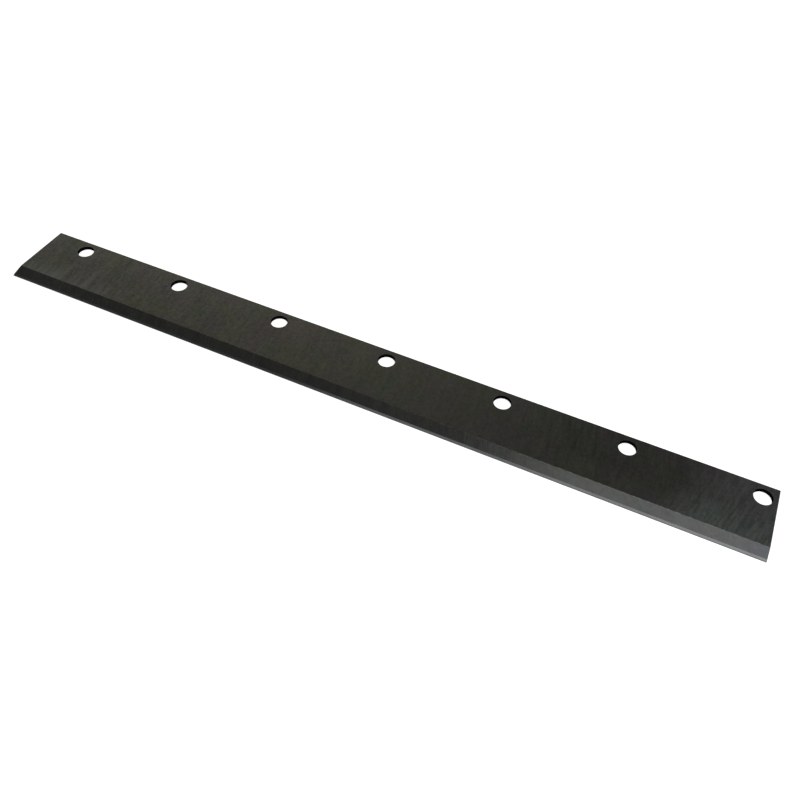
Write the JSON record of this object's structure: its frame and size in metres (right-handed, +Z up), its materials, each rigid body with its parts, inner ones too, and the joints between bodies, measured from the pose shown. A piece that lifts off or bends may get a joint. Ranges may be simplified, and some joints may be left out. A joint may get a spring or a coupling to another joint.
{
  "type": "carpet cutter blade",
  "caption": "Long flat steel machine knife that cuts carpet: one ground and honed edge, and a row of clamping holes along the back edge.",
  "frame": {"origin": "below the middle of the knife's box, on the flat side that it rests on", "axes": "+X along the knife, towards the end that is near its last bolt hole; +Y from the cutting edge to the back edge; +Z up, out of the side with the ground bevel"},
  "size_m": [0.6588, 0.0648, 0.0034],
  "materials": {
    "steel": "hardened tool steel, cross-ground and blackened to a satin olive grey, with a brighter ground bevel and honed edge"
  },
  "bodies": {
    "root": {"cutter_blade": "steel"}
  },
  "joints": []
}
